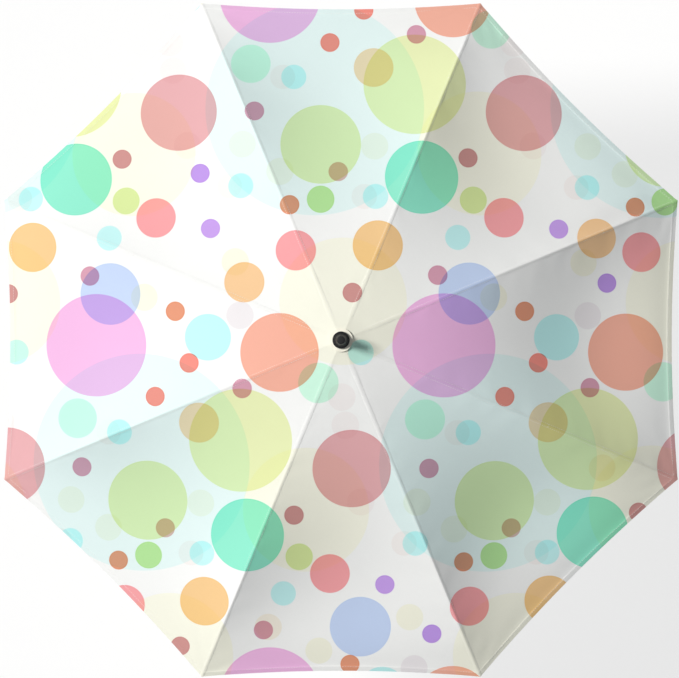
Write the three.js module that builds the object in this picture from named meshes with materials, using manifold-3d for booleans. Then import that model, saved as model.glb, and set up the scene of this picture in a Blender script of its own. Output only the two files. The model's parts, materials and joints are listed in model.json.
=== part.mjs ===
// A manual stick umbrella, standing point up with its crook handle at the bottom: eight
// curved steel ribs under a printed cloth canopy, eight stretchers and a sliding runner.
// Millimetres, +Z up along the shaft. Each frame arm is drawn pointing along +X and turned to its place.

import * as THREE from "three";
import { mergeVertices } from "three/addons/utils/BufferGeometryUtils.js";
import Module from "manifold-3d";

const wasm = await Module();
wasm.setup();

// ---- Driving sizes -------------------------------------------------------------------------
const ARMS = 8;
const FIRST_ARM = 22.5; // degrees from +X to the first rib
const CLEARANCE = 0.3; // between pieces that touch
const RUNNING = 0.4; // between the runner and the shaft

const RIB_LENGTH = 575; // along the curve, from its pin to its end
const RIB_SLOPE_CROWN = 12; // degrees below level where it leaves the notch
const RIB_SLOPE_TIP = 38;
const RIB_WIDTH = 3.2;
const RIB_HEIGHT = 2.8;
const RIB_WALL = 0.5;
const JOINT_AT = 270; // along the rib, from its pin to the stretcher's
const JOINT_DROP = 4.6; // the stretcher's pin below the middle of the rib
const FOLD = 64; // degrees that a rib swings from open to closed

const STRETCHER_WIDTH = 3;
const STRETCHER_HEIGHT = 2.4;
const PIVOT_RADIUS = 9; // from the shaft's axis to the rib pins and the stretcher pins
const EYE_RADIUS = 1.8;
const EYE_THICK = 1.6;
const WIRE_RADIUS = 0.55;
const BORE = 0.8; // radius of the hole in an eye
const ARM_START = 5.5; // from a pin to where the channel of an arm begins
const TAB_HEIGHT = 2;
const TAB_REACH = ARM_START + 2.5; // of an eye's tab, some of it inside the channel
const ROD_RADIUS = 1.05; // of the rib's round end
const ROD_FROM = 14; // back from the rib's end
const ROD_TO = 2;
const CHANNEL_TO = 12; // where the rib's channel stops, back from its end
const TIP_FROM = 10; // where the moulded tip starts, back from the rib's end
const CHEEK_RADIUS = 2.2;
const CHEEK_WEB = 5;
const RIVET_HEAD_RADIUS = 1.2;
const RIVET_HEAD = 0.5;

const SHAFT_RADIUS = 5;
const SHAFT_WALL = 0.7;
const SHAFT_ABOVE = 32; // over the rib pins
const SHAFT_FOOT = 20; // of the shaft's lower end, above the middle of the crook's bend
const HUB_RADIUS = PIVOT_RADIUS + 3;
const HUB_ABOVE = 3.6; // of the notch, over its pins
const HUB_BELOW = 3.4;
const RUNNER_LENGTH = 41; // below its pins
const RUNNER_WALL = 2.2;
const WINDOW_WIDTH = 2.8; // of the slot in the runner that a catch springs into
const WINDOW_HIGH = 19; // below the runner's pins
const WINDOW_LOW = 34;
const CATCH_PROUD = 3;
const CATCH_WIDTH = 1.4;
const CATCH_LENGTH = 17;
const CATCH_BACK = 13; // below its flat top, where its slope goes inside the shaft
const CATCH_PLAY = 0.4; // inside the shaft's wall
const CATCH_SLOT = 2.2; // width of its slot in the shaft
const SLOT_UP = 1.2; // of that slot, above the catch's flat top
const SLOT_DOWN = 14.5;
const LOW_CATCH_DROP = 20; // below the runner's pins, closed
const STOP_RADIUS = 1;
const STOP_PROUD = 1.2;

const CLOTH = 0.6; // thickness of the canopy's solid
const CLOTH_GAP = 1.8; // between the top of a rib and the cloth
const CLOTH_RISE = 3.4; // extra height of the cloth over the notch
const CLOTH_RISE_RUN = 40; // how far along the rib that takes
const SAG = 24; // most that the cloth dips between two ribs, square to it
const SAG_LATE = 1.9; // above 1 the dip comes later along the rib; the crown and the hem have none
const HEM_CUT = 12; // how far the hem is hollowed between two ribs
const HEM_OVER = 1; // cloth past the end of the rib
const ROSETTE_RADIUS = 16.5;
const ROSETTE_THICK = 0.8;
const ROSETTE_FALL = 2.3; // from its hole to its rim
const ROSETTE_GAP = 0.09; // over the cloth's inner edge
const FERRULE_RADIUS = 12.2;
const FERRULE_HEIGHT = 43;

const GRIP_RADIUS = 10;
const GRIP_LENGTH = 118; // the straight part of the handle
const CROOK_RADIUS = 32; // to the middle of the crook
const CROOK_END = 24; // straight end of the crook
const COLLAR_HEIGHT = 11;
const TIP_CUP_HEIGHT = 9;
const TIP_CUP_RADIUS = 12;

const STRAP_WIDTH = 20;
const STRAP_LENGTH = 150;
const STRAP_THICK = 1.4;
const STRAP_DROP = 2.6; // under the cloth
const STRAP_ASIDE = 9; // from the rib
const STRAP_FROM_TIP = 30;
const SNAP_RADIUS = 5;
const SNAP_HEIGHT = 1.8;
const SNAP_DROP = 6.1; // of its middle, under the cloth
const SNAP_ALONG = 18; // from the strap's free end

// ---- Places worked out from them -------------------------------------------------------------
const rad = THREE.MathUtils.degToRad;
const HALF_ARM = Math.PI / ARMS;
const BEND = rad(RIB_SLOPE_TIP - RIB_SLOPE_CROWN) / RIB_LENGTH; // turn of the rib per millimetre
const GRIP_TOP = CROOK_RADIUS + GRIP_RADIUS + GRIP_LENGTH;
const COLLAR_TOP = GRIP_TOP + CLEARANCE + COLLAR_HEIGHT;
const CUP_TOP = COLLAR_TOP + CLEARANCE + TIP_CUP_HEIGHT;

/** A point of the rib's middle line, its height counted from the rib's pin, and its slope there. */
function ribAt(along) {
  const start = rad(RIB_SLOPE_CROWN);
  const slope = start + BEND * along;
  const out = PIVOT_RADIUS + (Math.sin(slope) - Math.sin(start)) / BEND;
  const up = (Math.cos(slope) - Math.cos(start)) / BEND;
  return { out, up, slope };
}

/** A point beside the rib's middle line: positive is above it, square to it. */
function besideRib(along, off) {
  const { out, up, slope } = ribAt(along);
  return { out: out + off * Math.sin(slope), up: up + off * Math.cos(slope), slope };
}

const jointFromPin = besideRib(JOINT_AT, -JOINT_DROP);
const ARM_REACH = Math.hypot(jointFromPin.out - PIVOT_RADIUS, jointFromPin.up);
const ARM_SLOPE = Math.atan2(-jointFromPin.up, jointFromPin.out - PIVOT_RADIUS);
const OPEN_DROP = 2 * ARM_REACH * Math.sin(ARM_SLOPE); // rib pins down to runner pins, open
const CLOSED_DROP = 2 * ARM_REACH * Math.sin(ARM_SLOPE + rad(FOLD));
const RUNNER_REST = 2; // closed, between the runner and the cup
const NOTCH_Z = CUP_TOP + RUNNER_REST + RUNNER_LENGTH + CLOSED_DROP; // the rib pins
const RUNNER_Z = NOTCH_Z - OPEN_DROP; // the runner pins, open
const SHAFT_TOP = NOTCH_Z + SHAFT_ABOVE;
const SHAFT_BOTTOM = CROOK_RADIUS + GRIP_RADIUS + SHAFT_FOOT;
const CROWN_TOP = RIB_HEIGHT / 2 + CLOTH_GAP + CLOTH_RISE + CLOTH; // of the cloth, over the rib pins
const clothEdge = besideRib(0, CROWN_TOP); // its inner edge
const ROSETTE_HOLE = SHAFT_RADIUS + CLEARANCE;
const ROSETTE_SHARE = (clothEdge.out - ROSETTE_HOLE) / (ROSETTE_RADIUS - ROSETTE_HOLE);
const ROSETTE_LOW = clothEdge.up + ROSETTE_GAP + ROSETTE_FALL * ROSETTE_SHARE; // underside, at its hole
const CATCH_Z = RUNNER_Z - RUNNER_LENGTH - CLEARANCE; // flat top of the upper catch
const LOW_CATCH_Z = NOTCH_Z - CLOSED_DROP - LOW_CATCH_DROP; // flat top of the lower catch, in the window
const STOP_Z = RUNNER_Z + HUB_BELOW + CLEARANCE + STOP_RADIUS;
const STRAP_FROM = RIB_LENGTH - STRAP_FROM_TIP - STRAP_LENGTH; // along the rib

// ---- Materials ---------------------------------------------------------------------------------
const material = (color, roughness, metalness = 0) =>
  new THREE.MeshStandardMaterial({ color, roughness, metalness, side: THREE.FrontSide });
const steel = material(0xb9bcc0, 0.35, 1);
const darkSteel = material(0x6d7074, 0.4, 1);
const black = material(0x17181a, 0.4);
const cloth = material(0xf4f5f2, 0.8);
const ivory = material(0xf1efe2, 0.85);
const nickel = material(0xd4d6d8, 0.22, 1);

// ---- Solids ------------------------------------------------------------------------------------
const umbrella = new THREE.Group();

/** A closed solid from a geometry: shared corners merged, flat slivers dropped, faces turned out. */
function solid(geometry) {
  geometry.deleteAttribute("normal");
  geometry.deleteAttribute("uv");
  const merged = mergeVertices(geometry, 1e-4);
  const points = merged.attributes.position.array;
  const index = merged.index.array;
  const corner = (i) => new THREE.Vector3().fromArray(points, 3 * i);
  const kept = [];
  let volume = 0;
  for (let i = 0; i < index.length; i += 3) {
    const [a, b, c] = [index[i], index[i + 1], index[i + 2]];
    if (a === b || b === c || c === a) continue;
    volume += corner(a).dot(corner(b).cross(corner(c)));
    kept.push(a, b, c);
  }
  if (volume < 0) kept.reverse();
  const mesh = { numProp: 3, vertProperties: Float32Array.from(points), triVerts: Uint32Array.from(kept) };
  return new wasm.Manifold(new wasm.Mesh(mesh));
}

/** Puts a solid into the umbrella as a named mesh, turned about the shaft and lifted. */
function place(name, shape, finish, lift = 0, turn = 0) {
  const { vertProperties, triVerts } = shape.getMesh();
  const geometry = new THREE.BufferGeometry();
  geometry.setAttribute("position", new THREE.BufferAttribute(vertProperties, 3));
  geometry.setIndex(new THREE.BufferAttribute(triVerts, 1));
  geometry.computeVertexNormals();
  const mesh = new THREE.Mesh(geometry, finish);
  mesh.name = name;
  mesh.position.z = lift;
  mesh.rotation.z = turn;
  umbrella.add(mesh);
}

/** A solid turned about the shaft's axis from a profile of [radius, height] points. */
function turned(profile, segments = 32) {
  const loop = profile.map(([r, z]) => new THREE.Vector2(r, z));
  if (profile[0][0] > 0) loop.push(loop[0].clone());
  return solid(new THREE.LatheGeometry(loop, segments).rotateX(Math.PI / 2));
}

/** A round bar along Y, centred on a point. */
function crossBar(radius, length, x = 0, z = 0, segments = 12) {
  return solid(new THREE.CylinderGeometry(radius, radius, length, segments).translate(x, 0, z));
}

/** A box given by its lowest and highest corners. */
function block(low, high) {
  const size = high.map((v, i) => v - low[i]);
  const middle = high.map((v, i) => (v + low[i]) / 2);
  return solid(new THREE.BoxGeometry(...size).translate(...middle));
}

/** A channel's section, open underneath; the path turns +y of the section downwards. */
function channelSection(width, height, wall) {
  const [w, h] = [width / 2, height / 2];
  const corners = [[-w, -h], [w, -h], [w, h], [w - wall, h], [w - wall, wall - h], [wall - w, wall - h]];
  corners.push([wall - w, h], [-w, h]);
  return new THREE.Shape(corners.map(([x, y]) => new THREE.Vector2(x, y)));
}

/** A section carried along a path. */
function carried(section, path, steps) {
  return solid(new THREE.ExtrudeGeometry(section, { steps, extrudePath: path, bevelEnabled: false }));
}

/** A flat eye with its hole and a tab, in the plane of an arm, pin at the origin, tab along a slope. */
function eyeAndTab(slope, reach) {
  const tab = new THREE.BoxGeometry(reach, EYE_THICK, TAB_HEIGHT).translate(reach / 2, 0, 0);
  const eye = crossBar(EYE_RADIUS, EYE_THICK).add(solid(tab.rotateY(slope)));
  return eye.subtract(crossBar(BORE, 2 * EYE_THICK));
}

// ---- Ribs ----------------------------------------------------------------------------------------
/** The rib: a fluted channel with an eye at the notch, two cheeks for the stretcher and a round end. */
function rib() {
  class Middle extends THREE.Curve {
    getPoint(t, target = new THREE.Vector3()) {
      const { out, up } = ribAt(ARM_START + t * (RIB_LENGTH - CHANNEL_TO - ARM_START));
      return target.set(out, 0, up);
    }
  }
  let shape = carried(channelSection(RIB_WIDTH, RIB_HEIGHT, RIB_WALL), new Middle(), 12);
  shape = shape.add(eyeAndTab(rad(RIB_SLOPE_CROWN), TAB_REACH).translate([PIVOT_RADIUS, 0, 0]));
  const gap = EYE_THICK / 2 + CLEARANCE;
  const { out, up, slope } = jointFromPin;
  for (const side of [-1, 1]) {
    const outer = RIB_WIDTH / 2;
    const wall = outer - gap;
    const middle = side * (gap + wall / 2);
    const round = new THREE.CylinderGeometry(CHEEK_RADIUS, CHEEK_RADIUS, wall, 12);
    const disc = solid(round.translate(0, middle, 0));
    const web = new THREE.BoxGeometry(CHEEK_WEB, wall, JOINT_DROP).translate(0, middle, JOINT_DROP / 2);
    shape = shape.add(disc.add(solid(web.rotateY(slope))).translate([out, 0, up]));
  }
  shape = shape.subtract(crossBar(BORE, 2 * RIB_WIDTH, out, up));
  const [from, to] = [ribAt(RIB_LENGTH - ROD_FROM), ribAt(RIB_LENGTH - ROD_TO)];
  const length = Math.hypot(to.out - from.out, to.up - from.up);
  const rod = new THREE.CylinderGeometry(ROD_RADIUS, ROD_RADIUS, length, 10).rotateZ(-Math.PI / 2);
  rod.rotateY(from.slope).translate((from.out + to.out) / 2, 0, (from.up + to.up) / 2);
  return shape.add(solid(rod));
}

/** The small moulded end that the cloth's corner is sewn to. */
function ribTip() {
  const at = ribAt(RIB_LENGTH - TIP_FROM);
  const bore = ROD_RADIUS + CLEARANCE;
  const profile = [[bore, 0], [2.1, 0], [2.5, 2], [2.5, 9], [2.2, 10.6], [1.3, 11.8], [0, 12.2]];
  const loop = [[0, 9], [bore, 9], ...profile].map(([r, z]) => new THREE.Vector2(r, z));
  const shape = new THREE.LatheGeometry(loop, 12).rotateZ(-Math.PI / 2).rotateY(at.slope);
  return solid(shape.translate(at.out, 0, at.up));
}

/** The rivet that a stretcher turns on, headed at both ends. */
function jointRivet() {
  const { out, up } = jointFromPin;
  const outer = RIB_WIDTH / 2 + 0.1;
  let shape = crossBar(WIRE_RADIUS, 2 * outer + 0.6, out, up, 8);
  for (const side of [-1, 1]) {
    const head = new THREE.CylinderGeometry(RIVET_HEAD_RADIUS, RIVET_HEAD_RADIUS, RIVET_HEAD, 10);
    shape = shape.add(solid(head.translate(out, side * (outer + RIVET_HEAD / 2), up)));
  }
  return shape;
}

// ---- Stretchers ----------------------------------------------------------------------------------
/** The stretcher: a narrower channel between two eyes, from the rib's cheeks down to the runner. */
function stretcher() {
  const direction = new THREE.Vector3(Math.cos(ARM_SLOPE), 0, Math.sin(ARM_SLOPE));
  const low = new THREE.Vector3(PIVOT_RADIUS, 0, -OPEN_DROP);
  const start = low.clone().addScaledVector(direction, ARM_START);
  const end = low.clone().addScaledVector(direction, ARM_REACH - ARM_START);
  const path = new THREE.LineCurve3(start, end);
  let shape = carried(channelSection(STRETCHER_WIDTH, STRETCHER_HEIGHT, RIB_WALL), path, 1);
  shape = shape.add(eyeAndTab(-ARM_SLOPE, TAB_REACH).translate([PIVOT_RADIUS, 0, -OPEN_DROP]));
  const high = eyeAndTab(Math.PI - ARM_SLOPE, TAB_REACH);
  return shape.add(high.translate([jointFromPin.out, 0, jointFromPin.up]));
}

// ---- Notch, runner and their wires ---------------------------------------------------------------
/** A crown of slots for eight eyes, with the groove for their wire; the slots open out and down. */
function slottedCrown() {
  const bore = SHAFT_RADIUS + RUNNING;
  const profile = [[bore, -HUB_BELOW], [HUB_RADIUS - 0.8, -HUB_BELOW], [HUB_RADIUS, 0.8 - HUB_BELOW]];
  profile.push([HUB_RADIUS, HUB_ABOVE - 1], [HUB_RADIUS - 1, HUB_ABOVE], [bore, HUB_ABOVE]);
  let shape = turned(profile);
  const slotIn = PIVOT_RADIUS - EYE_RADIUS - CLEARANCE;
  const half = EYE_THICK / 2 + CLEARANCE;
  const slotTop = EYE_RADIUS + CLEARANCE;
  for (let i = 0; i < ARMS; i++) {
    const slot = block([slotIn, -half, -HUB_BELOW - 1], [HUB_RADIUS + 1, half, slotTop]);
    shape = shape.subtract(slot.rotate([0, 0, FIRST_ARM + (i * 360) / ARMS]));
  }
  const g = WIRE_RADIUS + CLEARANCE;
  const groove = [[PIVOT_RADIUS - g, -g], [HUB_RADIUS + 1, -g], [HUB_RADIUS + 1, g], [PIVOT_RADIUS - g, g]];
  return shape.subtract(turned(groove));
}

/** The wire that runs round through all eight eyes. */
function wireRing() {
  return solid(new THREE.TorusGeometry(PIVOT_RADIUS, WIRE_RADIUS, 6, 48));
}

/** The runner: its crown is the notch's turned over, above a sleeve with two thumb rims and a window. */
function runner() {
  const crown = slottedCrown().mirror([0, 0, 1]);
  const bore = SHAFT_RADIUS + RUNNING;
  const wall = bore + RUNNER_WALL;
  const low = -RUNNER_LENGTH;
  const profile = [[bore, low], [wall + 2.6, low], [wall + 3, low + 0.6], [wall + 3, low + 2.4]];
  profile.push([wall + 2.2, low + 3.2], [wall, low + 5], [wall, -9], [wall + 2.4, -5.6]);
  profile.push([wall + 2.4, 0.6 - HUB_ABOVE], [bore, 0.6 - HUB_ABOVE]);
  const sleeve = turned(profile);
  const half = WINDOW_WIDTH / 2;
  const window = block([-half, -wall - 3, -WINDOW_LOW], [half, -SHAFT_RADIUS, -WINDOW_HIGH]);
  return crown.add(sleeve).subtract(window);
}

// ---- Shaft, its catches and stop -------------------------------------------------------------------
/** The outline of a catch in the plane across the shaft: flat on top, sloping away underneath. */
function catchSpring() {
  const out = SHAFT_RADIUS + CATCH_PROUD;
  const back = SHAFT_RADIUS - SHAFT_WALL - CATCH_PLAY;
  const outline = new THREE.Shape();
  outline.moveTo(1, 0).lineTo(out, 0).lineTo(out, -2).lineTo(back, -CATCH_BACK);
  outline.lineTo(back, -CATCH_LENGTH).lineTo(1, -CATCH_LENGTH).closePath();
  const plate = new THREE.ExtrudeGeometry(outline, { depth: CATCH_WIDTH, bevelEnabled: false });
  return solid(plate.translate(0, 0, -CATCH_WIDTH / 2).rotateX(Math.PI / 2).rotateZ(-Math.PI / 2));
}

/** The steel tube, slotted for the two catches and drilled for the stop. */
function shaftTube() {
  const inner = SHAFT_RADIUS - SHAFT_WALL;
  const half = CATCH_SLOT / 2;
  const [low, high] = [SHAFT_BOTTOM, SHAFT_TOP];
  let shape = turned([[inner, low], [SHAFT_RADIUS, low], [SHAFT_RADIUS, high], [inner, high]]);
  for (const top of [CATCH_Z, LOW_CATCH_Z]) {
    shape = shape.subtract(block([-half, -SHAFT_RADIUS - 1, top - SLOT_DOWN], [half, 0, top + SLOT_UP]));
  }
  return shape.subtract(crossBar(STOP_RADIUS + CLEARANCE, 4 * SHAFT_RADIUS, 0, STOP_Z));
}

/** The pin that stops the runner at the top, through the shaft. */
function stopPin() {
  return crossBar(STOP_RADIUS, 2 * (SHAFT_RADIUS + STOP_PROUD), 0, STOP_Z);
}

// ---- Canopy, rosette and ferrule --------------------------------------------------------------------
/** A point of the cloth. across runs from 0 at the rib to 1 at the middle of the panel beside it. */
function clothAt(along, across, side, off) {
  const rise = CLOTH_RISE * Math.max(0, 1 - along / CLOTH_RISE_RUN) ** 2;
  const { out, up, slope } = besideRib(along, RIB_HEIGHT / 2 + CLOTH_GAP + rise + off);
  const hollow = across * (2 - across);
  const share = Math.min(1, along / RIB_LENGTH) ** SAG_LATE;
  const sink = SAG * hollow * Math.sin(Math.PI * share) ** 2;
  const azimuth = HALF_ARM * across;
  const [s, c] = [Math.sin(HALF_ARM), Math.cos(HALF_ARM)];
  const x = out * (1 - across * s * s) - sink * Math.sin(slope) * Math.cos(azimuth);
  const y = out * across * c * s - sink * Math.sin(slope) * Math.sin(azimuth);
  const half = (CLEARANCE / 2) * across;
  return [x + half * s, side * (y - half * c), up - sink * Math.cos(slope)];
}

/** A closed sheet between two surfaces given as functions of (i, j) on a grid of rows by columns. */
function gridSolid(rows, columns, lower, upper) {
  const points = [];
  for (const face of [lower, upper]) {
    for (let i = 0; i <= rows; i++) for (let j = 0; j <= columns; j++) points.push(...face(i, j));
  }
  const id = (layer, i, j) => layer * (rows + 1) * (columns + 1) + i * (columns + 1) + j;
  const faces = [];
  const quad = (a, b, c, d) => faces.push(a, b, c, a, c, d);
  for (let i = 0; i < rows; i++) {
    for (let j = 0; j < columns; j++) {
      quad(id(0, i, j), id(0, i, j + 1), id(0, i + 1, j + 1), id(0, i + 1, j));
      quad(id(1, i, j), id(1, i + 1, j), id(1, i + 1, j + 1), id(1, i, j + 1));
    }
    quad(id(0, i, 0), id(0, i + 1, 0), id(1, i + 1, 0), id(1, i, 0));
    quad(id(0, i + 1, columns), id(0, i, columns), id(1, i, columns), id(1, i + 1, columns));
  }
  for (let j = 0; j < columns; j++) {
    quad(id(0, 0, j + 1), id(0, 0, j), id(1, 0, j), id(1, 0, j + 1));
    quad(id(0, rows, j), id(0, rows, j + 1), id(1, rows, j + 1), id(1, rows, j));
  }
  const geometry = new THREE.BufferGeometry();
  geometry.setAttribute("position", new THREE.Float32BufferAttribute(points, 3));
  geometry.setIndex(faces);
  return solid(geometry);
}

/** The cloth over one rib, out to the middle of the panel on each side of it. */
function canopyStrip() {
  const [rows, columns] = [14, 8];
  const face = (off) => (i, j) => {
    const u = (2 * j) / columns - 1;
    const across = Math.abs(u);
    const end = RIB_LENGTH + HEM_OVER - HEM_CUT * across * (2 - across);
    return clothAt((end * i) / rows, across, Math.sign(u), off);
  };
  return gridSolid(rows, columns, face(0), face(CLOTH));
}

/** A band lying under the cloth beside the first rib, buttoned back along it. */
function tieStrap() {
  const [rows, columns] = [8, 2];
  const face = (off) => (i, j) => {
    const along = STRAP_FROM + (STRAP_LENGTH * i) / rows;
    const aside = STRAP_ASIDE + (STRAP_WIDTH * j) / columns;
    const full = ribAt(along).out * Math.sin(HALF_ARM) * Math.cos(HALF_ARM);
    return clothAt(along, aside / full, 1, off);
  };
  return gridSolid(rows, columns, face(-STRAP_DROP), face(STRAP_THICK - STRAP_DROP));
}

/** The press stud near the free end of the band. */
function strapSnap() {
  const along = STRAP_FROM + SNAP_ALONG;
  const full = ribAt(along).out * Math.sin(HALF_ARM) * Math.cos(HALF_ARM);
  const [x, y, z] = clothAt(along, (STRAP_ASIDE + STRAP_WIDTH / 2) / full, 1, -SNAP_DROP);
  const stud = new THREE.CylinderGeometry(SNAP_RADIUS - 1.2, SNAP_RADIUS, SNAP_HEIGHT, 20);
  return solid(stud.rotateX(-Math.PI / 2).rotateY(ribAt(along).slope).translate(x, y, z));
}

/** The round of doubled cloth under the ferrule. */
function rosette() {
  const [inner, outer] = [ROSETTE_HOLE, ROSETTE_RADIUS];
  const [low, rim] = [ROSETTE_LOW, ROSETTE_LOW - ROSETTE_FALL];
  return turned([[inner, low], [outer, rim], [outer, rim + ROSETTE_THICK], [inner, low + ROSETTE_THICK]]);
}

/** The pointed end cap that clamps the cloth down on the notch. */
function ferrule() {
  const base = ROSETTE_LOW + ROSETTE_THICK + CLEARANCE;
  const top = base + FERRULE_HEIGHT;
  const bore = SHAFT_RADIUS + CLEARANCE;
  const inside = SHAFT_TOP - NOTCH_Z + CLEARANCE;
  const f = FERRULE_RADIUS;
  const profile = [[0, inside], [bore, inside], [bore, base], [f - 0.4, base], [f, base + 0.5]];
  profile.push([f, base + 2.2], [f - 0.8, base + 3.4], [f - 3.2, base + 5.4], [f - 4.3, base + 8]);
  profile.push([f - 4.9, base + 14], [6.3, top - 8], [6.1, top - 4], [5.4, top - 1.2], [4.2, top], [0, top]);
  return turned(profile);
}

// ---- Handle ------------------------------------------------------------------------------------------
/** The crook: a straight grip that turns through half a circle, bored for the shaft. */
function crook() {
  const corner = CROOK_RADIUS + GRIP_RADIUS;
  const at = (x, z) => new THREE.Vector3(x, 0, z);
  class Bend extends THREE.Curve {
    getPoint(t, target = new THREE.Vector3()) {
      const turn = Math.PI * t;
      return target.set(CROOK_RADIUS * (1 - Math.cos(turn)), 0, corner - CROOK_RADIUS * Math.sin(turn));
    }
  }
  const section = new THREE.Shape(new THREE.Path().absarc(0, 0, GRIP_RADIUS, 0, 2 * Math.PI).getPoints(8));
  const grip = carried(section, new THREE.LineCurve3(at(0, GRIP_TOP), at(0, corner)), 1);
  const end = [at(2 * CROOK_RADIUS, corner), at(2 * CROOK_RADIUS, corner + CROOK_END)];
  const tail = carried(section, new THREE.LineCurve3(...end), 1);
  const bar = grip.add(carried(section, new Bend(), 16)).add(tail);
  const [bore, low] = [SHAFT_RADIUS + CLEARANCE, SHAFT_BOTTOM - CLEARANCE];
  return bar.subtract(turned([[0, low], [bore, low], [bore, GRIP_TOP + 1], [0, GRIP_TOP + 1]]));
}

/** The plug that closes the crook's end. */
function crookCap() {
  const base = CROOK_RADIUS + GRIP_RADIUS + CROOK_END + CLEARANCE;
  const r = GRIP_RADIUS;
  const shape = turned([[0, base], [r, base], [r, base + 1.6], [r - 0.8, base + 2.8], [r - 2.4, base + 3.6],
    [0, base + 3.6]], 32);
  return shape.translate([2 * CROOK_RADIUS, 0, 0]);
}

/** The bright band at the top of the grip. */
function collar() {
  const [low, high] = [GRIP_TOP + CLEARANCE, COLLAR_TOP];
  const [inner, outer] = [SHAFT_RADIUS + CLEARANCE, GRIP_RADIUS + 0.5];
  return turned([[inner, low], [outer, low], [outer, high - 1.5], [outer - 1.5, high], [inner, high]]);
}

/** The flared cup over the band that the rib tips gather round. */
function tipCup() {
  const [low, high] = [COLLAR_TOP + CLEARANCE, CUP_TOP];
  const inner = SHAFT_RADIUS + CLEARANCE;
  const r = TIP_CUP_RADIUS;
  return turned([[inner, low], [GRIP_RADIUS - 1.5, low], [r - 1, high - 3], [r, high - 0.8], [r, high],
    [r - 1.6, high], [GRIP_RADIUS - 2.4, low + 3], [inner, low + 3]]);
}

// ---- Assembly ------------------------------------------------------------------------------------------
place("shaft_tube", shaftTube(), steel);
place("stop_pin", stopPin(), darkSteel);
place("top_catch", catchSpring(), darkSteel, CATCH_Z);
place("bottom_catch", catchSpring(), darkSteel, LOW_CATCH_Z);
place("top_notch", slottedCrown(), black, NOTCH_Z);
place("notch_wire", wireRing(), darkSteel, NOTCH_Z);
place("runner", runner(), black, RUNNER_Z);
place("runner_wire", wireRing(), darkSteel, RUNNER_Z);
place("rosette", rosette(), ivory, NOTCH_Z);
place("ferrule", ferrule(), black, NOTCH_Z);
place("crook_handle", crook(), black);
place("crook_end_cap", crookCap(), black);
place("handle_collar", collar(), nickel);
place("tip_cup", tipCup(), black);

const pieces = { rib: rib(), rib_tip: ribTip(), joint_rivet: jointRivet(), stretcher: stretcher() };
pieces.canopy = canopyStrip();
const finishes = { rib: steel, rib_tip: nickel, joint_rivet: darkSteel, stretcher: steel, canopy: cloth };
for (let i = 0; i < ARMS; i++) {
  const turn = rad(FIRST_ARM) + i * 2 * HALF_ARM;
  for (const [name, shape] of Object.entries(pieces)) {
    place(`${name}_${i + 1}`, shape, finishes[name], NOTCH_Z, turn);
  }
}
place("tie_strap", tieStrap(), ivory, NOTCH_Z, rad(FIRST_ARM));
place("strap_snap", strapSnap(), nickel, NOTCH_Z, rad(FIRST_ARM));

export default umbrella;
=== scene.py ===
import json
import math

import bpy
import numpy as np
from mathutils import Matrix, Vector


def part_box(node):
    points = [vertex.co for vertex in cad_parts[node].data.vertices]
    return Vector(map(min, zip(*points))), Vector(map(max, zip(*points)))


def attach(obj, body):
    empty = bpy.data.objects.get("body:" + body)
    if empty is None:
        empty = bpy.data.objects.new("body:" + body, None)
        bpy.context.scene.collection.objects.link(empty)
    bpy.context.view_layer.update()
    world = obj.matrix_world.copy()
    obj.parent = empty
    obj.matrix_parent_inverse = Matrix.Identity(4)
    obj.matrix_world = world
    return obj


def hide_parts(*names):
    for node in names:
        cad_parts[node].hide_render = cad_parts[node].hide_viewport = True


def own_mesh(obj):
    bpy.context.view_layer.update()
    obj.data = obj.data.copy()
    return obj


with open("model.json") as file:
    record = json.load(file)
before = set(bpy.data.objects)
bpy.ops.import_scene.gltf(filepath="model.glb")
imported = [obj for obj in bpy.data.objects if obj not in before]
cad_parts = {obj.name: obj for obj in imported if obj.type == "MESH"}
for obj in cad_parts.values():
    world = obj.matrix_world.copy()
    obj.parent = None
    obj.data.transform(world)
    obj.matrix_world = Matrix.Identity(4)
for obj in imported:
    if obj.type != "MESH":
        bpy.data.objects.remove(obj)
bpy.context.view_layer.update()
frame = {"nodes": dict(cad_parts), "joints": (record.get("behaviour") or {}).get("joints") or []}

# ---- Studio -------------------------------------------------------------------------------
# A pale floor under a soft white sky, one soft light from the left, and a long lens looking
# straight down on the open umbrella.

VIEW_DISTANCE = 8.0
VIEW_WIDTH = 0.9860
VIEW_OFF_X, VIEW_OFF_Y = -0.0022, 0.0015
SENSOR = 36.0
SKY_COLOUR, SKY_STRENGTH = (0.95, 0.97, 1.0, 1.0), 0.24
WINDOW_COLOUR, WINDOW_STRENGTH = (1.0, 0.985, 0.96), 3.45
WINDOW_ANGLE = math.radians(14)
TOWARDS_WINDOW = Vector((-0.59, 0.18, 0.79))
FLOOR_HALF = 12.0
FLOOR_GREY, FLOOR_GLOW = 0.22, 0.74

canopy_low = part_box("rib_tip_1")[0].z
camera = bpy.data.cameras.new("from_above")
camera.sensor_width = SENSOR
camera.lens = SENSOR * VIEW_DISTANCE / VIEW_WIDTH
camera.clip_end = 100.0
camera_object = bpy.data.objects.new("from_above", camera)
camera_object.location = (VIEW_OFF_X, VIEW_OFF_Y, canopy_low + VIEW_DISTANCE)
bpy.context.scene.collection.objects.link(camera_object)
bpy.context.scene.camera = camera_object

sky = bpy.data.worlds.new("soft_sky")
sky.use_nodes = True
sky.node_tree.nodes["Background"].inputs["Color"].default_value = SKY_COLOUR
sky.node_tree.nodes["Background"].inputs["Strength"].default_value = SKY_STRENGTH
bpy.context.scene.world = sky
bpy.context.scene.view_settings.view_transform = "Standard"

window = bpy.data.lights.new("window", "SUN")
window.energy = WINDOW_STRENGTH
window.angle = WINDOW_ANGLE
window.color = WINDOW_COLOUR
window_object = bpy.data.objects.new("window", window)
window_object.rotation_euler = TOWARDS_WINDOW.to_track_quat("Z", "Y").to_euler()
bpy.context.scene.collection.objects.link(window_object)

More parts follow.
